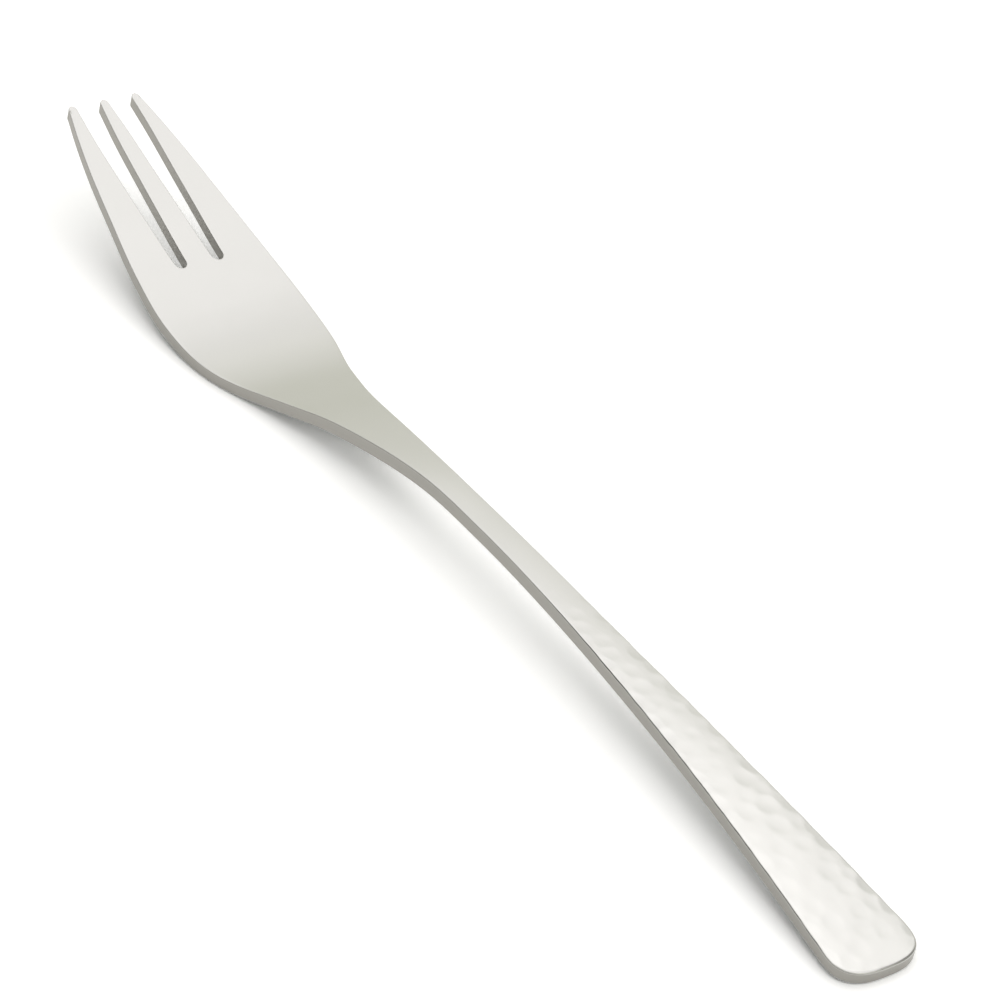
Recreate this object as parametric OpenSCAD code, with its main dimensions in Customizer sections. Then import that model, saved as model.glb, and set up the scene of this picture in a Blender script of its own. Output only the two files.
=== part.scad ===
// Three-tine fork, stamped and formed from one strip of stainless steel, lying tines up.
// X runs from the handle's end to the tips, Y across the fork, and Z up from the table.
// The steel is one piece. Each module is one stretch of it, and neighbours meet face to face.

/* [Lengths] */
// From the handle's end to the narrowest point of the neck, where the arch is highest
handle_length = 88; // [60:1:120]
// From the narrowest point to the start of the shoulders
neck_length = 34; // [24:1:50]
// From the start of the shoulders to the heel, the lowest point under the head
shoulder_length = 19; // [12:1:30]
// From the heel to the roots of the slots
root_length = 19; // [12:1:30]
// From the heel to the widest point of the head
widest_past_heel = 9.5; // [3:0.5:10]
// From the roots of the slots to the tips
tine_length = 30; // [20:1:60]

/* [Widths] */
// Width of the handle at its end, before the corners are rounded
handle_end_width = 15; // [10:0.1:22]
// Width of the neck at its narrowest
neck_width = 4.6; // [3.5:0.1:8]
// Width of the head at its widest
head_width = 24.1; // [20:0.1:32]
// Length of the stretch that rounds off the handle's end
end_round_length = 5.9; // [1:0.1:8]
// How square the handle's end is, from 2 for an ellipse upwards
end_squareness = 2.7; // [2:0.1:4]

/* [Tines and slots] */
// Width of the middle tine at the roots of the slots
middle_tine_width = 4.5; // [3:0.1:6]
// Width of each tine at its tip
tip_width = 1.4; // [1:0.1:2.6]
// Width of a slot at its round root
slot_root_width = 2; // [1:0.1:3]
// Clear gap between two tips
tip_gap = 4.2; // [2:0.1:5]

/* [Heights] */
// Height of the upper face at the top of the arch
arch_height = 8.8; // [5:0.1:16]
// Height of the upper face at the tips
tip_height = 15.1; // [8:0.1:24]
// Depth worn off the heel, which leaves the small flat that the fork rests on
heel_wear = 0.06; // [0.03:0.01:0.2]

/* [Thicknesses] */
// Thickness of the handle at its end
handle_thickness = 2; // [1.4:0.1:3]
// Thickness of the neck
neck_thickness = 2.1; // [1.4:0.1:3]
// Thickness of the head at the heel
head_thickness = 1.9; // [1.2:0.1:3]
// Thickness of the tines at their tips
tip_thickness = 1.6; // [1:0.1:2]

/* [Hidden] */
steel = [0.79, 0.79, 0.76];

// Longest straight step along a curved outline
curve_step = 2;
// Distance over which a slope is read
slope_step = 0.1;
// Steps in each quarter of a rounded end, and their largest angle
arc_steps = 8;
quarter_turn = 90;

// Stations along the fork, measured from the handle's end
neck_x = handle_length;
shoulder_x = neck_x + neck_length;
heel_x = shoulder_x + shoulder_length;
widest_x = heel_x + widest_past_heel;
root_x = heel_x + root_length;
fork_length = root_x + tine_length;
slot_radius = slot_root_width / 2;
tip_radius = tip_width / 2;
slot_x = root_x + slot_radius;
tip_x = fork_length - tip_radius;

// Distance between the centre lines of two tips, and of the middle tine and a slot's root
tip_pitch = tip_width + tip_gap;
slot_y = middle_tine_width / 2 + slot_radius;

// Length of each extrusion, which reaches past the steel on every side
span = 2 * (head_width + tip_height + arch_height);

// Each table pairs a share of a stretch's length with the share of its change that is left
handle_rise_shares = [[0, 0], [0.25, 0.417], [0.5, 0.726], [0.75, 0.922]];
arch_fall_shares = [[0, 1], [0.25, 0.947], [0.45, 0.753], [0.6, 0.536], [0.75, 0.262], [0.9, 0.042]];
tine_rise_shares = [[0, 0], [0.2, 0.074], [0.4, 0.256], [0.6, 0.492], [0.8, 0.739], [1, 1]];
handle_taper_shares = [[0, 1], [0.2, 0.7], [0.4, 0.429], [0.6, 0.218], [0.8, 0.059]];
shoulder_shares = [[0, 0], [0.2, 0.015], [0.4, 0.143], [0.55, 0.303], [0.7, 0.587], [0.85, 0.91]];
tine_taper_shares = [[0, 1], [0.25, 0.884], [0.5, 0.647], [0.75, 0.383], [0.9, 0.171], [1, 0]];
middle_taper_shares = [[0, 1], [0.5, 0.6], [0.85, 0.26], [1, 0]];

// A table of shares turned into points, over length from start, between the values low and high
function stretch(shares, start, length, low, high) =
    [for (s = shares) [start + s[0] * length, low + s[1] * (high - low)]];

// The curve's slope at one of its points, which is that of a parabola through its neighbours
function chord(p, i) = (p[i + 1][1] - p[i][1]) / (p[i + 1][0] - p[i][0]);
function run(p, i) = p[i + 1][0] - p[i][0];
function slope(p, i) =
    i == 0 ? chord(p, 0)
    : i == len(p) - 1 ? chord(p, i - 1)
    : (run(p, i) * chord(p, i - 1) + run(p, i - 1) * chord(p, i)) / (run(p, i - 1) + run(p, i));

// The interval of the curve that holds x
function interval(p, x, i = 0) = i >= len(p) - 2 || x <= p[i + 1][0] ? i : interval(p, x, i + 1);

// A smooth curve through the points, a cubic over each interval, read at x
function curve(p, x) =
    let (
        i = interval(p, x),
        h = run(p, i),
        t = (x - p[i][0]) / h,
        near = p[i][1],
        far = p[i + 1][1],
        rise = 3 * t * t - 2 * t * t * t,
        leave = t * (1 - t) * (1 - t),
        arrive = t * t * (t - 1)
    )
    near + (far - near) * rise + h * (slope(p, i) * leave + slope(p, i + 1) * arrive);

// Height of the upper face, half the width of the outline, and thickness, all along the fork
upper_line = concat(
    stretch(handle_rise_shares, 0, handle_length, handle_thickness, arch_height),
    stretch(arch_fall_shares, neck_x, heel_x - neck_x, head_thickness - heel_wear, arch_height),
    stretch(tine_rise_shares, heel_x, fork_length - heel_x, head_thickness - heel_wear, tip_height));
outer_line = concat(
    stretch(handle_taper_shares, 0, handle_length, neck_width / 2, handle_end_width / 2),
    stretch(shoulder_shares, neck_x, widest_x - neck_x, neck_width / 2, head_width / 2),
    stretch(tine_taper_shares, widest_x, tip_x - widest_x, tip_pitch + tip_radius, head_width / 2));
middle_line = stretch(middle_taper_shares, slot_x, tip_x - slot_x, tip_radius, middle_tine_width / 2);
thickness_line = [
    [0, handle_thickness], [neck_x, neck_thickness], [heel_x, head_thickness], [fork_length, tip_thickness]];

function upper(x) = curve(upper_line, x);
function outer(x) = curve(outer_line, x);
function middle(x) = curve(middle_line, x);
function slot_width(x) = slot_root_width + (tip_gap - slot_root_width) * (x - slot_x) / (tip_x - slot_x);
function inner(x) = middle(x) + slot_width(x);

// The lower face lies a thickness below, measured square to the steel, and never under the table
function slant(x) = (upper(x + slope_step) - upper(x - slope_step)) / (2 * slope_step);
function lower(x) = max(0, upper(x) - curve(thickness_line, x) * sqrt(1 + pow(slant(x), 2)));

// Evenly spaced places from a to b, both included
function places(a, b) = let (n = ceil((b - a) / curve_step)) [for (i = [0:n]) a + (b - a) * i / n];
function backwards(list) = [for (i = [len(list) - 1:-1:0]) list[i]];
function mirrored(list) = [for (p = backwards(list)) [p[0], -p[1]]];

// A rounded end of a given radius, from its left side over the front to its right side
function tip_arc(y) = [for (i = [1:2 * arc_steps - 1])
    let (a = quarter_turn * (1 - i / arc_steps))
    [tip_x + tip_radius * cos(a), y + tip_radius * sin(a)]];

// The round root of a slot, from its left side back to its right side
function root_arc(y) = [for (i = [0:2 * arc_steps])
    let (a = quarter_turn * (1 + i / arc_steps))
    [slot_x + slot_radius * cos(a), y + slot_radius * sin(a)]];

// The left half of the handle's end, from its middle, as a superellipse under the taper
function end_curve() = [for (i = [0:2 * arc_steps])
    let (
        a = quarter_turn * i / (2 * arc_steps),
        x = end_round_length * (1 - pow(cos(a), 2 / end_squareness))
    )
    [x, outer(x) * pow(sin(a), 2 / end_squareness)]];

// Left edges as points
function edge_outer(a, b) = [for (x = places(a, b)) [x, outer(x)]];
function edge_inner(a, b) = [for (x = places(a, b)) [x, inner(x)]];
function edge_middle(a, b) = [for (x = places(a, b)) [x, middle(x)]];

// The side view of the steel from a to b
module side_band(a, b) {
    above = [for (x = places(a, b)) [x, upper(x)]];
    below = [for (x = places(a, b)) [x, lower(x)]];
    rotate([quarter_turn, 0, 0])
        linear_extrude(height = span, center = true)
            polygon(concat(above, backwards(below)));
}

// One stretch of the steel from a to b: its plan, given as a child, where it meets its side view
module formed(a, b) {
    translate([-fork_length / 2, 0, 0])
        intersection() {
            linear_extrude(height = span, center = true) children();
            side_band(a, b);
        }
}

// The long flat handle, widening to its rounded end
module handle() {
    left = concat(end_curve(), [for (p = edge_outer(end_round_length, neck_x)) if (p[0] > end_round_length) p]);
    color(steel)
        formed(0, neck_x) polygon(concat(left, [for (p = mirrored(left)) if (p[0] > 0) p]));
}

// The slim neck, which falls from the top of the arch towards the heel
module neck() {
    left = edge_outer(neck_x, shoulder_x);
    color(steel)
        formed(neck_x, shoulder_x) polygon(concat(left, mirrored(left)));
}

// The shouldered head, from the neck to the round roots of the slots
module head() {
    left = concat(edge_outer(shoulder_x, slot_x), root_arc(slot_y));
    color(steel)
        formed(shoulder_x, slot_x) polygon(concat(left, mirrored(left)));
}

// The plain tapering tine on the centre line
module tine_middle() {
    left = edge_middle(slot_x, tip_x);
    color(steel)
        formed(slot_x, fork_length) polygon(concat(left, tip_arc(0), mirrored(left)));
}

// A tine at the side, which follows the slot inside and the fork's outline outside
module tine_side() {
    outside = edge_outer(slot_x, tip_x);
    inside = edge_inner(slot_x, tip_x);
    formed(slot_x, fork_length) polygon(concat(outside, tip_arc(tip_pitch), backwards(inside)));
}

module tine_left() {
    color(steel) tine_side();
}

module tine_right() {
    color(steel) mirror([0, 1, 0]) tine_side();
}

handle();
neck();
head();
tine_left();
tine_middle();
tine_right();
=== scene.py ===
import math

import bpy
import numpy as np
from mathutils import Matrix, Vector


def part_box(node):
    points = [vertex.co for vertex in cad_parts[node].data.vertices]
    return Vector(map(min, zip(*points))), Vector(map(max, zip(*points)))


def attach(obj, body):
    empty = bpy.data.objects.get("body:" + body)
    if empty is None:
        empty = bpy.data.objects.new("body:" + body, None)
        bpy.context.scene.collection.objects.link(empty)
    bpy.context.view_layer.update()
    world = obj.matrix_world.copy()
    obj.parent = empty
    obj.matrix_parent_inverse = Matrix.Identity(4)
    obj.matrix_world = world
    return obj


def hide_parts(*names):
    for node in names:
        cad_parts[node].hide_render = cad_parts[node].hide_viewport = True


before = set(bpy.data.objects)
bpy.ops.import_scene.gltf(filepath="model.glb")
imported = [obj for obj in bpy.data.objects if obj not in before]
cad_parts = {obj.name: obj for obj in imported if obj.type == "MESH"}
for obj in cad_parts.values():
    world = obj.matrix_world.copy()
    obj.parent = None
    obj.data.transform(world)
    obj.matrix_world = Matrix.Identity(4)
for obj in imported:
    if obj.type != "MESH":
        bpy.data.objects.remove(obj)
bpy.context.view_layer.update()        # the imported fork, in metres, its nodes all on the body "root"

metre = 0.001            # one millimetre in metres, because every size below is in millimetres
steelNodes = ["handle", "neck", "head", "tine_left", "tine_middle", "tine_right"]


# small helpers

def toLinear(hexColour, alpha=1.0):
    # sRGB hex to linear: a straight line near black, a power of 2.4 above it
    shares = [int(hexColour[i:i + 2], 16) / 255 for i in (1, 3, 5)]
    linear = [s / 12.92 if s <= 0.04045 else ((s + 0.055) / 1.055) ** 2.4 for s in shares]
    return (*linear, alpha)


def addNode(tree, kind, settings=None, inputs=None):
    # one node: settings are its properties, inputs are socket values or the sockets that feed them
    node = tree.nodes.new(kind)
    for name, value in (settings or {}).items():
        setattr(node, name, value)
    for name, value in (inputs or {}).items():
        if isinstance(value, bpy.types.NodeSocket):
            tree.links.new(value, node.inputs[name])
        else:
            node.inputs[name].default_value = value
    return node


def emptyTree(owner):
    # a node tree with nothing in it, for a material or the world
    owner.use_nodes = True
    owner.node_tree.nodes.clear()
    return owner.node_tree


def smoothLine(points, x):
    # a cubic over each interval, whose slope at a point is that of the parabola through its neighbours
    px, py = np.array(points, float).T
    step = np.diff(px)
    chord = np.diff(py) / step
    slope = np.concatenate([chord[:1], chord, chord[-1:]])[:len(px)]
    slope[1:-1] = (step[1:] * chord[:-1] + step[:-1] * chord[1:]) / (step[1:] + step[:-1])
    slope[-1] = chord[-1]
    i = np.clip(np.searchsorted(px, x) - 1, 0, len(step) - 1)
    t = (x - px[i]) / step[i]
    rise = 3 * t ** 2 - 2 * t ** 3
    bend = slope[i] * t * (1 - t) ** 2 + slope[i + 1] * t ** 2 * (t - 1)
    return py[i] + (py[i + 1] - py[i]) * rise + step[i] * bend


def stretchOf(shares, start, end, low, high):
    # a table of shares made into points from start to end, between the values low and high
    return [(start + s * (end - start), low + v * (high - low)) for s, v in shares]


def evenSteps(a, b, spacing):
    # evenly spaced places from a to b, both included, no farther apart than the spacing
    return np.linspace(a, b, max(2, int(math.ceil((b - a) / spacing)) + 1))


# the fork's form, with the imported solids' own stations and these sizes

forkForm = {
    "heel": 141.0, "widest": 150.5,                     # mm from the handle's end
    "handleEndWidth": 15.0, "neckWidth": 4.6, "headWidth": 24.1,
    "endRoundLength": 5.9, "endSquareness": 2.7,
    "middleTineWidth": 4.5, "tipWidth": 1.4, "slotRootWidth": 2.0, "tipGap": 4.2,
    "heelWear": 0.06,
    "thickness": [(0, 2.0), (88, 2.1), (141, 1.9), (190, 1.6)],
    "handleRiseShares": [(0, 0), (0.25, 0.417), (0.5, 0.726), (0.75, 0.922)],
    "archFallShares": [(0, 1), (0.25, 0.947), (0.45, 0.753), (0.6, 0.536), (0.75, 0.262), (0.9, 0.042)],
    "tineRiseShares": [(0, 0), (0.2, 0.074), (0.4, 0.256), (0.6, 0.492), (0.8, 0.739), (1, 1)],
    "handleTaperShares": [(0, 1), (0.2, 0.7), (0.4, 0.429), (0.6, 0.218), (0.8, 0.059)],
    "shoulderShares": [(0, 0), (0.2, 0.015), (0.4, 0.143), (0.55, 0.303), (0.7, 0.587), (0.85, 0.91)],
    "tineTaperShares": [(0, 1), (0.25, 0.884), (0.5, 0.647), (0.75, 0.383), (0.9, 0.171), (1, 0)],
    "middleTaperShares": [(0, 1), (0.5, 0.6), (0.85, 0.26), (1, 0)],
    # mm, the radii of the edges above and below, at places along the fork: crisp where it was only stamped,
    # rounder where it was hammered and under the heel, where it wears
    "upperArris": [(0, 0.38), (3, 0.3), (60, 0.28), (78, 0.12), (190, 0.1)],
    "lowerArris": [(0, 0.35), (10, 0.3), (45, 0.13), (112, 0.13),
                   (130, 0.38), (150, 0.38), (165, 0.15), (190, 0.1)],
    "arrisSteps": 4,
    "edgeBlend": 3,              # power by which the face's finish gives way to the edge's round an arris: its rougher finish, and its darker colour, which is painted shade
    "support": 0.12,             # mm of flat mesh beside each arris, so that faces and wall shade flat
    "crownSlope": 0.05,          # how far the handle's face leans outwards at its edges
    "crownEnds": (95, 120),      # mm from the handle's end, where the crown fades away
    "crownStart": 2.0,           # mm from the handle's end, before which the width is taken as it is here
    "slopeStep": 0.1,            # mm to either side of a place, between which its slope is read
    "columns": (17, 7, 10),      # mesh columns over a side tine, a slot and the middle tine
    "endColumnsAngle": 48.0,     # degrees of the end's curve that the mesh's last row takes up
    "endSamples": 400,           # places on the end's curve, along which its length is measured
    "rowSpacing": {"end": 0.3, "hammered": 0.28, "plain": 0.5, "tines": 0.6},   # mm
    "bendReach": {"end": 9.0, "roots": 5.0, "tips": 3.0},   # mm over which rows straighten from those curves
}

# the hammered part of the handle, where shallow round marks overlap

hammerMarks = {
    "seed": 11,
    "pitch": 3.6,                # mm between marks, as the photograph shows
    "toEachSide": 4,             # marks to each side of a row's middle one, enough to pass the widest place
    "wander": 0.95,              # mm that a mark strays from its place
    "faceRadius": 30.0,          # mm, radius of the hammer's crowned face
    "depth": (0.01, 0.05),       # mm, shallowest and deepest
    "edgeOut": 0.4,              # mm outside the outline, where the marks along the edge have their middles
    "edgeStart": 0.5,            # mm from the handle's end to the first of them
    "edgePitch": 3.9,
    "edgeDepth": (0.03, 0.11),
    "edgeFaceRadius": 22.0,
    "ends": 76.0,                # mm from the handle's end to the last mark
    "fade": 14.0,                # mm over which the last marks get shallow
    "softness": 0.004,           # mm, how far polishing has eased the ridges
}


def stations():
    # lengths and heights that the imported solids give, in mm from the handle's end and from the table
    x0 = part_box("handle")[0].x
    return {
        "start": x0 / metre,
        "neck": (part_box("handle")[1].x - x0) / metre,
        "slot": (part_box("head")[1].x - x0) / metre,
        "tip": (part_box("tine_middle")[1].x - x0) / metre,
        "archHeight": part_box("handle")[1].z / metre,
        "tipHeight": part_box("tine_middle")[1].z / metre,
        "halfWidth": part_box("head")[1].y / metre,
    }


class ForkShape:
    # every curve of the fork as a function of x, the distance in mm from the handle's end

    def __init__(self, form, at):
        self.form, self.at = form, at
        self.slotRadius, self.tipRadius = form["slotRootWidth"] / 2, form["tipWidth"] / 2
        self.tipPitch = form["tipWidth"] + form["tipGap"]
        self.noseX = at["tip"] - self.tipRadius
        heelTop = form["thickness"][2][1] - form["heelWear"]     # the third pair is the heel's
        neckHalf, headHalf = form["neckWidth"] / 2, form["headWidth"] / 2
        self.upperLine = (
            stretchOf(form["handleRiseShares"], 0, at["neck"], form["thickness"][0][1], at["archHeight"])
            + stretchOf(form["archFallShares"], at["neck"], form["heel"], heelTop, at["archHeight"])
            + stretchOf(form["tineRiseShares"], form["heel"], at["tip"], heelTop, at["tipHeight"]))
        self.outerLine = (
            stretchOf(form["handleTaperShares"], 0, at["neck"], neckHalf, form["handleEndWidth"] / 2)
            + stretchOf(form["shoulderShares"], at["neck"], form["widest"], neckHalf, headHalf)
            + stretchOf(form["tineTaperShares"], form["widest"], self.noseX,
                        self.tipPitch + self.tipRadius, headHalf))
        self.middleLine = stretchOf(
            form["middleTaperShares"], at["slot"], self.noseX, self.tipRadius, form["middleTineWidth"] / 2)

    def upper(self, x):
        # height of the upper face
        return smoothLine(self.upperLine, x)

    def thickness(self, x):
        # measured upright, so thicker where the steel slants: times the root of 1 plus the slope squared
        step = self.form["slopeStep"]
        slant = (self.upper(x + step) - self.upper(x - step)) / (2 * step)
        return smoothLine(self.form["thickness"], x) * np.sqrt(1 + slant ** 2)

    def lower(self, x):
        # height of the lower face, never under the table
        return np.maximum(self.upper(x) - self.thickness(x), 0)

    def outer(self, x):
        # half the width of the outline
        return np.minimum(smoothLine(self.outerLine, x), self.at["halfWidth"])

    def crown(self, x, y):
        # fall of the handle's face towards its edges: slope times y squared over the whole width
        start, end = self.form["crownEnds"]
        share = np.clip((end - x) / (end - start), 0, 1)
        halfWidth = self.outer(np.maximum(x, self.form["crownStart"]))
        return self.form["crownSlope"] * share ** 2 * y ** 2 / (2 * halfWidth)

    def middle(self, x):
        # half the width of the middle tine
        return smoothLine(self.middleLine, x)

    def inner(self, x):
        # a side tine's inner edge: the middle tine's edge plus the slot, which widens evenly to the tips
        share = (x - self.at["slot"]) / (self.noseX - self.at["slot"])
        rootWidth, tipWidth = self.form["slotRootWidth"], self.form["tipGap"]
        return self.middle(x) + rootWidth + (tipWidth - rootWidth) * share

    def endCurve(self, angle):
        # superellipse under the taper: x falls with cos to the power 2/n and y grows with sin to it
        power = 2 / self.form["endSquareness"]
        x = self.form["endRoundLength"] * (1 - np.cos(angle) ** power)
        return x, self.outer(x) * np.sign(angle) * np.abs(np.sin(angle)) ** power


def markPlaces(shape, marks):
    # staggered rows of marks over the hammered handle, the root of 3 over 2 of their pitch apart, each mark
    # strayed a little, and one row along each edge
    random = np.random.default_rng(marks["seed"])
    rowGap = marks["pitch"] * math.sqrt(3) / 2
    rows = np.arange(-1, int(marks["ends"] / rowGap) + 1)
    columns = np.arange(-marks["toEachSide"], marks["toEachSide"] + 1)
    across, along = np.meshgrid(columns, rows)
    x = along * rowGap
    y = (across + 0.5 * (along % 2)) * marks["pitch"]
    place = np.stack([x.ravel(), y.ravel()], 1) + random.uniform(-1, 1, (x.size, 2)) * marks["wander"]
    low, high = marks["depth"]
    field = np.column_stack([place, random.uniform(low, high, x.size), np.full(x.size, marks["faceRadius"])])

    edgeX = np.arange(marks["edgeStart"], marks["ends"], marks["edgePitch"])
    low, high = marks["edgeDepth"]
    edges = []
    for side in (1, -1):
        ex = edgeX + random.uniform(-1, 1, edgeX.size) * marks["wander"]
        ey = side * (shape.outer(np.maximum(ex, 0)) + marks["edgeOut"])
        depth = random.uniform(low, high, edgeX.size)
        edges.append(np.column_stack([ex, ey, depth, np.full(ex.size, marks["edgeFaceRadius"])]))
    return np.vstack([field, *edges])


def hammered(x, y, places, marks):
    # depth of the marks at x, y: each is a shallow bowl, depth minus distance squared over two radii,
    # and the deepest one wins, with the ridges between them eased by a soft maximum
    soft = marks["softness"]
    largest = 50                 # power of e at which each mark is held, so that the sum stays finite
    fade = np.clip((marks["ends"] - places[:, 0]) / marks["fade"], 0, 1)
    total = np.ones_like(x)
    for cx, cy, depth, radius, share in np.column_stack([places, fade]):
        bowl = depth * share - ((x - cx) ** 2 + (y - cy) ** 2) / (2 * radius)
        total += np.exp(np.clip(bowl / soft, -largest, largest)) * (share > 0)
    return soft * np.log(total)


def plainGrid(shape, form, marks):
    # the mesh's rows and columns seen from above, with the outline's loop as places in that grid
    left, slot, middle = form["columns"]
    a, b = left, left + slot
    c, d = b + middle, b + middle + slot
    last = d + left
    angle = math.radians(form["endColumnsAngle"])
    gap = form["rowSpacing"]
    endAngles = np.linspace(angle, math.pi / 2, int(form["endRoundLength"] / gap["end"]))
    endX = shape.endCurve(endAngles)[0]
    plainX = np.concatenate([
        evenSteps(form["endRoundLength"], marks["ends"], gap["hammered"])[1:],
        evenSteps(marks["ends"], shape.at["slot"], gap["plain"])[1:]])
    tineX = evenSteps(shape.at["slot"], shape.noseX, gap["tines"])[1:]
    sideX = np.concatenate([endX, plainX, tineX])
    sideY = np.concatenate([shape.endCurve(endAngles)[1], shape.outer(np.concatenate([plainX, tineX]))])
    root, rows = len(endX) + len(plainX) - 1, len(sideX) - 1

    def along(rowList, column, x, y):
        return [np.column_stack([rowList, np.full(len(rowList), column), x, y])]

    def across(row, columnList, x, y):
        return [np.column_stack([np.full(len(columnList), row), columnList, x, y])]

    # the end's curve, spread over the columns by its length
    dense = np.linspace(-angle, angle, form["endSamples"])
    dx, dy = shape.endCurve(dense)
    length = np.concatenate([[0], np.cumsum(np.hypot(np.diff(dx), np.diff(dy)))])
    endColumns = np.arange(1, last)
    endY = np.interp(endColumns / last, length / length[-1], dense)
    ex, ey = shape.endCurve(endY)

    down = np.arange(rows, -1, -1)          # from the tips to the handle's end
    up = np.arange(rows + 1)
    noseRows = np.arange(root + 1, rows)
    tx = sideX[noseRows]

    def nose(columnList, centre):
        # half a circle ahead of the tine's tip, from its -Y side to its +Y side
        turn = np.linspace(0, math.pi, len(columnList) + 2)[1:-1]
        return across(rows, columnList, shape.noseX + shape.tipRadius * np.sin(turn),
                      centre - shape.tipRadius * np.cos(turn))

    def slotRoot(columnList, centre):
        # half a circle behind the slot's start, from its -Y side to its +Y side
        turn = np.linspace(0, math.pi, len(columnList))
        return across(root, columnList, shape.at["slot"] - shape.slotRadius * np.sin(turn),
                      centre - shape.slotRadius * np.cos(turn))

    slotY = form["middleTineWidth"] / 2 + shape.slotRadius
    loop = []
    # column 0 is the +Y side, so y falls as the columns go up
    loop += along(down, 0, sideX[down], sideY[down])
    loop += across(0, endColumns, ex, -ey)
    loop += along(up, last, sideX, -sideY)
    loop += nose(np.arange(last - 1, d, -1), -shape.tipPitch)
    loop += along([rows], d, [shape.noseX], [-shape.inner(shape.noseX)])
    loop += along(noseRows[::-1], d, tx[::-1], -shape.inner(tx[::-1]))
    loop += slotRoot(np.arange(d, c - 1, -1), -slotY)
    loop += along(noseRows, c, tx, -shape.middle(tx))
    loop += along([rows], c, [shape.noseX], [-shape.middle(shape.noseX)])
    loop += nose(np.arange(c - 1, b, -1), 0)
    loop += along([rows], b, [shape.noseX], [shape.middle(shape.noseX)])
    loop += along(noseRows[::-1], b, tx[::-1], shape.middle(tx[::-1]))
    loop += slotRoot(np.arange(b, a - 1, -1), slotY)
    loop += along(noseRows, a, tx, shape.inner(tx))
    loop += along([rows], a, [shape.noseX], [shape.inner(shape.noseX)])
    loop += nose(np.arange(a - 1, 0, -1), shape.tipPitch)
    loop = np.vstack(loop)
    return loop, sideX, (a, b, c, d, last), root, rows


def inwardNormals(points):
    # square to the line through both neighbours, turned towards the steel, which is on the left of the loop
    tangent = np.roll(points, -1, 0) - np.roll(points, 1, 0)
    normal = np.stack([-tangent[:, 1], tangent[:, 0]], 1)
    return normal / np.linalg.norm(normal, axis=1, keepdims=True)


def fillGrid(loop, inset, columns, root, rows, sideX, reach):
    # straight rows between the sides, then shifted so that the rows at the end, the slot roots
    # and the noses follow their curves, by an amount that fades along the fork
    a, b, c, d, last = columns
    grid = np.full((rows + 1, last + 1, 2), np.nan)
    grid[loop[:, 0].astype(int), loop[:, 1].astype(int)] = inset
    known = grid.copy()

    def straight(rowList, first, final, shares):
        # points at these shares of the way from one side to the other
        p, q = known[rowList, first][:, None], known[rowList, final][:, None]
        grid[rowList, first:final + 1] = p + (q - p) * shares[None, :, None]

    # shares of the whole width, set where the slots start
    atRoot = known[root].copy()
    for first, final in ((0, a), (b, c), (d, last)):
        shares = np.linspace(0, 1, final - first + 1)[:, None]
        atRoot[first:final + 1] = atRoot[first] + (atRoot[final] - atRoot[first]) * shares
    plain = atRoot[:, 1].copy()
    for first, final in ((a, b), (c, d)):
        plain[first:final + 1] = np.linspace(plain[first], plain[final], final - first + 1)
    shares = (plain - plain[0]) / (plain[-1] - plain[0])
    body = np.arange(root + 1)
    straight(body, 0, last, shares)

    def bendTo(target, row, rowList, first, final, length):
        # the whole shift at its own row, then by the square of what is left of the length
        shift = target - grid[row, first:final + 1]
        fade = np.clip(1 - np.abs(sideX[rowList] - sideX[row]) / length, 0, 1) ** 2
        grid[rowList, first:final + 1] += fade[:, None, None] * shift[None]

    bendTo(atRoot, root, body, 0, last, reach["roots"])
    bendTo(known[0], 0, body, 0, last, reach["end"])
    tines = np.arange(root, rows + 1)
    for first, final in ((0, a), (b, c), (d, last)):
        straight(tines[1:], first, final, np.linspace(0, 1, final - first + 1))
        bendTo(known[rows, first:final + 1], rows, tines[1:], first, final, reach["tips"])
    return grid


def gridFaces(index):
    # four corners for each cell of a grid of vertex numbers
    cells = np.stack([index[:-1, :-1], index[1:, :-1], index[1:, 1:], index[:-1, 1:]], -1)
    return cells.reshape(-1, 4)


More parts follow.
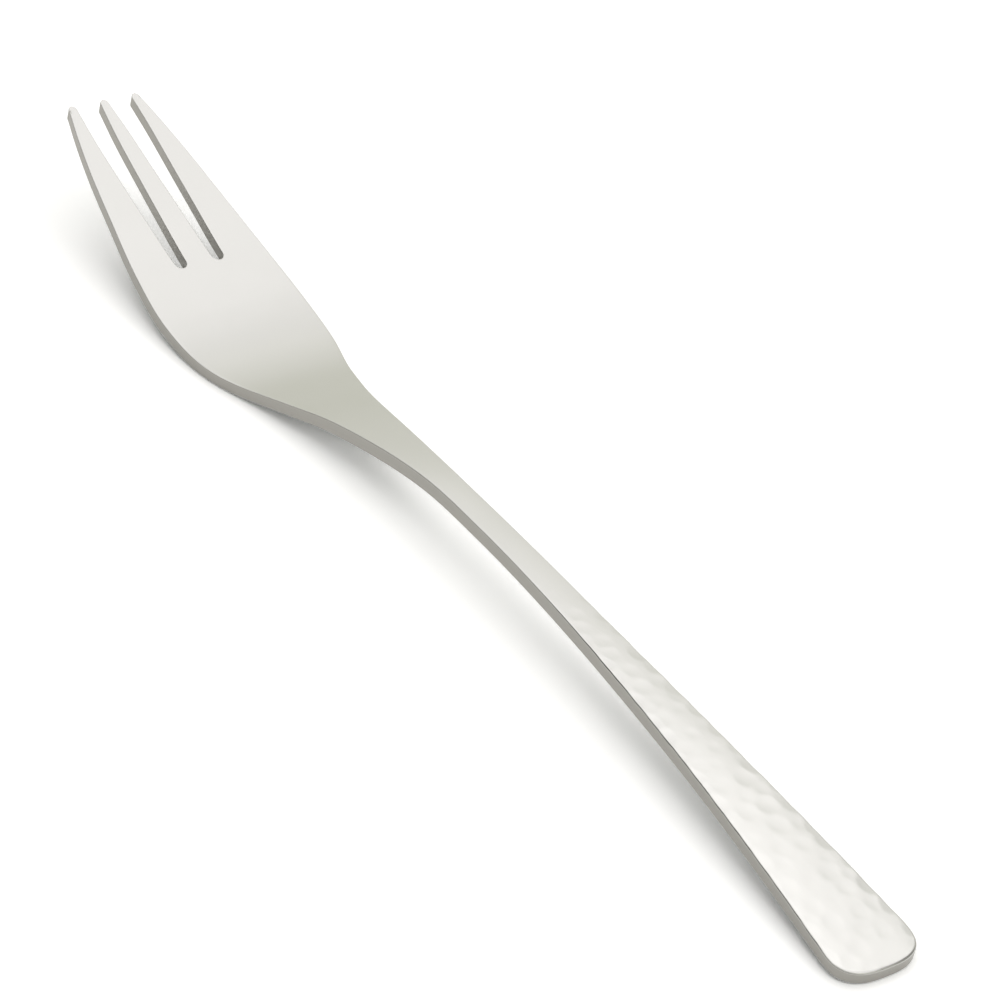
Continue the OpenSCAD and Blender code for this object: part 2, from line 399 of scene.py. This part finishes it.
def forkMesh(form, marks):
    # one closed mesh: an upper and a lower face over the same grid, joined by rings round the outline
    shape = ForkShape(form, stations())
    loop, sideX, columns, root, rows = plainGrid(shape, form, marks)
    a, b, c, d, last = columns
    outline = loop[:, 2:4]
    normal = inwardNormals(outline)
    upperRadius, lowerRadius = (
        np.interp(outline[:, 0], *np.array(form[name]).T) for name in ("upperArris", "lowerArris"))
    inset = outline + normal * (np.maximum(upperRadius, lowerRadius) + form["support"])[:, None]
    grid = fillGrid(loop, inset, columns, root, rows, sideX, form["bendReach"])
    places = markPlaces(shape, marks)

    def relief(x, y):
        return hammered(x, y, places, marks) + shape.crown(x, y)

    # the two faces; y falls as the columns go up, so the upper face's cells are turned round
    gx, gy = np.nan_to_num(grid[..., 0]), np.nan_to_num(grid[..., 1])
    top = shape.upper(gx) - relief(gx, gy)
    bottom = shape.lower(gx)
    count = grid.shape[0] * grid.shape[1]
    number = np.arange(count).reshape(grid.shape[:2])
    faces = []
    stretches = ((0, last, 0, root), (0, a, root, rows), (b, c, root, rows), (d, last, root, rows))
    for first, final, rowFrom, rowTo in stretches:
        faces.append(gridFaces(number[rowFrom:rowTo + 1, first:final + 1]))
    upperFaces = np.vstack(faces)[:, ::-1]
    lowerFaces = upperFaces[:, ::-1] + count

    # the edge, rings round the outline: a quarter round above, the wall, and a quarter round below
    ringX, ringY, ringZ, ringEdge = [], [], [], []

    def addRing(inward, down, isAbove, edge):
        # the outline, moved inwards and away from its face by these distances
        px, py = (outline + normal * inward[:, None]).T
        ringX.append(px)
        ringY.append(py)
        ringZ.append(shape.upper(px) - relief(px, py) - down if isAbove else shape.lower(px) + down)
        ringEdge.append(np.full(len(px), edge))

    # each ring's edge share, which the material turns into a rougher finish and a darker colour of painted
    # shade
    turns = np.linspace(0, math.pi / 2, form["arrisSteps"] + 1)
    edgeShares = (turns / turns[-1]) ** form["edgeBlend"]
    for turn, share in zip(turns, edgeShares):
        addRing(upperRadius * (1 - math.sin(turn)), upperRadius * (1 - math.cos(turn)), True, share)
    addRing(0 * upperRadius, upperRadius + form["support"], True, 1)
    addRing(0 * lowerRadius, lowerRadius + form["support"], False, 1)
    for turn, share in zip(turns[::-1], edgeShares[::-1]):
        addRing(lowerRadius * (1 - math.sin(turn)), lowerRadius * (1 - math.cos(turn)), False, share)
    rings = len(ringX)
    loopNumber = number[loop[:, 0].astype(int), loop[:, 1].astype(int)]
    ringNumber = 2 * count + np.arange(rings * len(loop)).reshape(rings, len(loop))
    wall = np.vstack([loopNumber, ringNumber, loopNumber + count])
    wall = np.hstack([wall, wall[:, :1]])
    wallFaces = gridFaces(wall)

    # only the points that a face uses are kept, and renumbered
    x = np.concatenate([gx.ravel(), gx.ravel(), np.ravel(ringX)])
    y = np.concatenate([gy.ravel(), gy.ravel(), np.ravel(ringY)])
    z = np.concatenate([top.ravel(), bottom.ravel(), np.ravel(ringZ)])
    edge = np.concatenate([np.zeros(2 * count), np.ravel(ringEdge)])
    allFaces = np.vstack([upperFaces, lowerFaces, wallFaces])
    used, newNumber = np.unique(allFaces, return_inverse=True)
    points = np.stack([x + shape.at["start"], y, z], 1)[used] * metre
    return points, newNumber.reshape(-1, 4), edge[used]


def meshObject(name, points, faces, material):
    # a smooth-shaded object with four-cornered faces, its points already in their places
    mesh = bpy.data.meshes.new(name)
    mesh.vertices.add(len(points))
    mesh.vertices.foreach_set("co", points.astype(np.float32).ravel())
    mesh.loops.add(faces.size)
    mesh.loops.foreach_set("vertex_index", faces.astype(np.int32).ravel())
    mesh.polygons.add(len(faces))
    mesh.polygons.foreach_set("loop_start", np.arange(0, faces.size, 4, dtype=np.int32))
    mesh.polygons.foreach_set("use_smooth", np.ones(len(faces), bool))
    mesh.update(calc_edges=True)
    mesh.validate()
    mesh.materials.append(material)
    piece = bpy.data.objects.new(name, mesh)
    bpy.context.scene.collection.objects.link(piece)
    return piece


# satin stainless steel: tumbled and buffed, so it reflects the room as soft tones and no clear picture

satinSteel = {
    "colour": "#CDCDCC",
    "edgePaintedShadeColour": "#9D9B96",     # the blanked edge: rougher than the faces, and darker in colour, which is painted shade for the dark room and shadowed floor it mirrors
    "roughness": (0.185, 0.245),
    "edgeRoughness": 0.36,
    "grainSpacing": 0.25,        # mm between polishing lines, drawn coarser than real
    "grainLength": 18,           # how many times longer than its spacing a line is
    "grainDetail": 2.0,          # finer sizes of noise within the lines
    "grainRoughness": 0.025,     # how much rougher the lines are
    "cloudSize": 6.0,            # mm across the faint clouds that handling has left
    "cloudDetail": 3.0,          # finer sizes of noise within the clouds
    "cloudRange": (0.3, 0.7),    # stretch of the noise that takes the roughness from one end to the other
}


def steelMaterial(look):
    material = bpy.data.materials.new("satinStainlessSteel")
    tree = emptyTree(material)
    place = addNode(tree, "ShaderNodeTexCoord")
    # lines along the fork: a noise that is stretched along x
    lineScale = 1 / (look["grainSpacing"] * metre)
    lines = addNode(tree, "ShaderNodeMapping", inputs={
        "Vector": place.outputs["Object"],
        "Scale": (lineScale / look["grainLength"], lineScale, lineScale)})
    grain = addNode(tree, "ShaderNodeTexNoise", inputs={
        "Vector": lines.outputs["Vector"], "Scale": 1.0, "Detail": look["grainDetail"]})
    # clouds where the satin is a little brighter or duller
    clouds = addNode(tree, "ShaderNodeTexNoise", inputs={
        "Vector": place.outputs["Object"], "Scale": 1 / (look["cloudSize"] * metre),
        "Detail": look["cloudDetail"]})
    # the edge share, 0 on the faces and 1 on the wall: it makes the edge rougher and paints shade on it with
    # the darker edge colour
    edge = addNode(tree, "ShaderNodeAttribute", {"attribute_name": "edge"})
    faceRoughness = addNode(tree, "ShaderNodeMapRange", inputs={
        "Value": clouds.outputs["Fac"],
        "From Min": look["cloudRange"][0], "From Max": look["cloudRange"][1],
        "To Min": look["roughness"][0], "To Max": look["roughness"][1]})
    grained = addNode(tree, "ShaderNodeMath", {"operation": "MULTIPLY_ADD"})
    tree.links.new(grain.outputs["Fac"], grained.inputs[0])
    grained.inputs[1].default_value = look["grainRoughness"]
    tree.links.new(faceRoughness.outputs["Result"], grained.inputs[2])
    roughness = addNode(tree, "ShaderNodeMix", {"data_type": "FLOAT"}, {
        "Factor": edge.outputs["Fac"], "A": grained.outputs[0], "B": look["edgeRoughness"]})
    # the faces' colour, turned round the arrises into the darker edge colour, which is painted shade
    colour = addNode(tree, "ShaderNodeMix", {"data_type": "RGBA"})
    tree.links.new(edge.outputs["Fac"], colour.inputs["Factor"])
    # a colour mix keeps its colours A and B in sockets 6 and 7
    colour.inputs[6].default_value = toLinear(look["colour"])
    colour.inputs[7].default_value = toLinear(look["edgePaintedShadeColour"])
    shader = addNode(tree, "ShaderNodeBsdfPrincipled", inputs={
        "Base Color": colour.outputs[2], "Metallic": 1.0, "Roughness": roughness.outputs[0]})
    addNode(tree, "ShaderNodeOutputMaterial", inputs={"Surface": shader.outputs["BSDF"]})
    return material


def buildFork():
    points, faces, edge = forkMesh(forkForm, hammerMarks)
    fork = meshObject("fork", points, faces, steelMaterial(satinSteel))
    # the edge share at each point, for the material's rougher edge and its painted shade
    attribute = fork.data.attributes.new("edge", "FLOAT", "POINT")
    attribute.data.foreach_set("value", edge.astype(np.float32))
    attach(fork, "root")
    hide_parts(*steelNodes)
    print("fork:", len(points), "vertices,", len(faces), "faces")
    return fork


# the studio: a pale floor, one wide soft lamp overhead, a small one, and a sky with three soft sides

studio = {
    "floorSize": 6.0,                       # metres
    "floorColour": "#F6F7F9",
    "floorGain": 1.24,                      # how much paler than its colour the eye sees the floor
    "lampColour": "#FFFDFA",
    "softPlace": (0.05, -0.2, 2.0),         # metres
    "softSize": 3.34,                       # metres across
    "softStrength": 1.36,                   # radiance, where 1 shows white
    "handlePlace": (0.03, -0.13, 0.34),     # the small lamp that the handle mirrors, in the same units
    "handleSize": 0.19,
    "handleStrength": 0.34,
    # radiance of the sky at the sines of its elevations: on the far side, behind the camera, and dimmer
    # beyond the handle's end
    "farSky": [(0.0, 0.75), (0.22, 0.83), (0.42, 0.95), (0.59, 1.18),
               (0.68, 1.21), (0.7, 1.22), (0.725, 0.0)],
    "nearSky": [(0.0, 0.3), (0.38, 0.3), (0.48, 0.95), (0.74, 0.95), (0.86, 0.15)],
    "endSky": [(0.0, 0.4), (0.68, 0.4), (0.73, 0.0)],
    "skyLow": "#FFFFF0",                    # its colour near the floor, a little olive
    "skyTint": (0.2, 0.75),                 # between these sines it turns to the lamps' colour
    # the headings of their middles, and the cosines of the angles from there at which they end and are full
    "farSide": (0.76, -0.65, 0.0),
    "farWidth": (0.45, 1.0),
    "nearSide": (-0.34, 0.94, 0.0),
    "nearWidth": (-0.7, 0.0),
    "endSide": (-0.75, -0.66, 0.0),
    "endWidth": (0.3, 0.9),
    # a dark patch beyond the tips, which the arris along the near edge mirrors as a thin line
    "darkPlace": (0.68, 0.53, 0.5),
    "darkWidth": (0.89, 0.96),
    "darkDepth": 0.9,
}


def buildFloor(look):
    half = look["floorSize"] / 2
    corner = np.array([(-1, -1), (1, -1), (1, 1), (-1, 1)]) * half
    points = np.column_stack([corner, np.zeros(4)])
    # matt white card: it has no gloss, so only the shadow shows on it
    material = bpy.data.materials.new("matPaleFloor")
    tree = emptyTree(material)
    path = addNode(tree, "ShaderNodeLightPath")
    # paler for the eye and in reflections, so that it shows white beyond the core of the shadow
    seen = addNode(tree, "ShaderNodeMath", {"operation": "MAXIMUM"})
    tree.links.new(path.outputs["Is Camera Ray"], seen.inputs[0])
    tree.links.new(path.outputs["Is Glossy Ray"], seen.inputs[1])
    gain = addNode(tree, "ShaderNodeMapRange", inputs={
        "Value": seen.outputs[0], "To Min": 1.0, "To Max": look["floorGain"]})
    paleness = addNode(tree, "ShaderNodeVectorMath", {"operation": "SCALE"}, {
        "Scale": gain.outputs["Result"]})
    paleness.inputs[0].default_value = toLinear(look["floorColour"])[:3]
    card = addNode(tree, "ShaderNodeBsdfDiffuse", inputs={"Color": paleness.outputs["Vector"]})
    addNode(tree, "ShaderNodeOutputMaterial", inputs={"Surface": card.outputs["BSDF"]})
    floor = meshObject("floor", points, np.array([[0, 1, 2, 3]]), material)
    print("floor done")


def buildSky(look):
    world = bpy.data.worlds.new("studioSky")
    bpy.context.scene.world = world
    tree = emptyTree(world)
    place = addNode(tree, "ShaderNodeTexCoord")
    parts = addNode(tree, "ShaderNodeSeparateXYZ", inputs={"Vector": place.outputs["Generated"]})

    def heightRamp(heights):
        # radiance by the sine of the elevation, straight between the given heights
        ramp = addNode(tree, "ShaderNodeValToRGB", inputs={"Fac": parts.outputs["Z"]})
        stops = ramp.color_ramp.elements
        while len(stops) < len(heights):
            stops.new(1.0)
        for stop, (height, radiance) in zip(stops, heights):
            stop.position = height
            stop.color = (radiance, radiance, radiance, 1)
        return ramp.outputs["Color"]

    # the lit sides, told apart by the heading alone
    level = addNode(tree, "ShaderNodeVectorMath", {"operation": "MULTIPLY"})
    tree.links.new(place.outputs["Generated"], level.inputs[0])
    level.inputs[1].default_value = (1, 1, 0)
    heading = addNode(tree, "ShaderNodeVectorMath", {"operation": "NORMALIZE"})
    tree.links.new(level.outputs["Vector"], heading.inputs[0])

    def shareNear(direction, middle, width, atEnd=0.0, atMiddle=1.0):
        # a smooth step from one value to the other by the cosine of the angle from the middle
        across = addNode(tree, "ShaderNodeVectorMath", {"operation": "DOT_PRODUCT"})
        tree.links.new(direction, across.inputs[0])
        across.inputs[1].default_value = middle
        share = addNode(tree, "ShaderNodeMapRange", {"interpolation_type": "SMOOTHSTEP"}, {
            "Value": across.outputs["Value"], "From Min": width[0], "From Max": width[1],
            "To Min": atEnd, "To Max": atMiddle})
        return share.outputs["Result"]

    def sideSky(middle, width, heights):
        # one side's radiance by height, times its share by heading
        share = shareNear(heading.outputs["Vector"], middle, width)
        part = addNode(tree, "ShaderNodeVectorMath", {"operation": "SCALE"}, {"Scale": share})
        tree.links.new(heightRamp(heights), part.inputs[0])
        return part.outputs["Vector"]

    def summed(first, second):
        both = addNode(tree, "ShaderNodeVectorMath", {"operation": "ADD"})
        tree.links.new(first, both.inputs[0])
        tree.links.new(second, both.inputs[1])
        return both.outputs["Vector"]

    far, near, end = (sideSky(look[side + "Side"], look[side + "Width"], look[side + "Sky"])
                      for side in ("far", "near", "end"))
    radiance = summed(summed(far, near), end)
    tint = addNode(tree, "ShaderNodeMapRange", inputs={
        "Value": parts.outputs["Z"], "From Min": look["skyTint"][0], "From Max": look["skyTint"][1]})
    shade = addNode(tree, "ShaderNodeMix", {"data_type": "RGBA"})
    tree.links.new(tint.outputs["Result"], shade.inputs["Factor"])
    shade.inputs[6].default_value = toLinear(look["skyLow"])
    shade.inputs[7].default_value = toLinear(look["lampColour"])
    tinted = addNode(tree, "ShaderNodeVectorMath", {"operation": "MULTIPLY"})
    tree.links.new(radiance, tinted.inputs[0])
    tree.links.new(shade.outputs[2], tinted.inputs[1])
    lit = shareNear(
        place.outputs["Generated"], look["darkPlace"], look["darkWidth"], 1.0, 1 - look["darkDepth"])
    sky = addNode(tree, "ShaderNodeBackground", inputs={"Color": tinted.outputs["Vector"], "Strength": lit})
    addNode(tree, "ShaderNodeOutputWorld", inputs={"Surface": sky.outputs["Background"]})
    print("sky done")


def addLamp(name, place, size, radiance, colour):
    # a round lamp aimed at the fork: its power is the radiance times pi times its area
    light = bpy.data.lights.new(name, "AREA")
    light.shape = "DISK"
    light.size = size
    light.color = toLinear(colour)[:3]
    light.energy = radiance * math.pi ** 2 * size ** 2 / 4
    lamp = bpy.data.objects.new(name, light)
    bpy.context.scene.collection.objects.link(lamp)
    lamp.location = place
    lamp.rotation_euler = (-Vector(place)).to_track_quat("-Z", "Y").to_euler()
    return lamp


def buildLamps(look):
    addLamp("softLamp", look["softPlace"], look["softSize"], look["softStrength"], look["lampColour"])
    # a small soft one above the far side, which the near half of the handle mirrors
    addLamp("handleLamp", look["handlePlace"], look["handleSize"], look["handleStrength"], look["lampColour"])
    print("lamps done")


# the photograph's view: from beyond the handle's end, over the near side, with the picture turned a little

photoView = {
    "azimuth": 44.83, "elevation": 35.61, "roll": 13.91,        # degrees
    "distance": 636.7, "target": (6.2, -13.05, -0.15),          # mm
    "focalPixels": 4504.0, "imagePixels": 1000.0, "sensor": 36.0,
    "clip": (0.01, 20.0),                                       # metres
}


def buildCamera(look):
    # it looks along the azimuth, tilted down by the elevation, and is rolled about that line
    turn, tilt, roll = (math.radians(look[k]) for k in ("azimuth", "elevation", "roll"))
    forward = Vector((math.cos(tilt) * math.cos(turn), -math.cos(tilt) * math.sin(turn), -math.sin(tilt)))
    level = Vector((-math.sin(turn), -math.cos(turn), 0))
    over = level.cross(forward)
    right = math.cos(roll) * level + math.sin(roll) * over
    up = math.cos(roll) * over - math.sin(roll) * level
    data = bpy.data.cameras.new("photoCamera")
    data.sensor_width = look["sensor"]
    data.lens = look["focalPixels"] / look["imagePixels"] * look["sensor"]
    data.clip_start, data.clip_end = look["clip"]
    camera = bpy.data.objects.new("photoCamera", data)
    bpy.context.scene.collection.objects.link(camera)
    place = (Vector(look["target"]) - look["distance"] * forward) * metre
    camera.matrix_world = Matrix.Translation(place) @ Matrix((right, up, -forward)).transposed().to_4x4()
    bpy.context.scene.camera = camera
    print("camera done")


buildCamera(photoView)
buildFork()
buildFloor(studio)
buildSky(studio)
buildLamps(studio)
bpy.context.scene.view_settings.view_transform = "Standard"
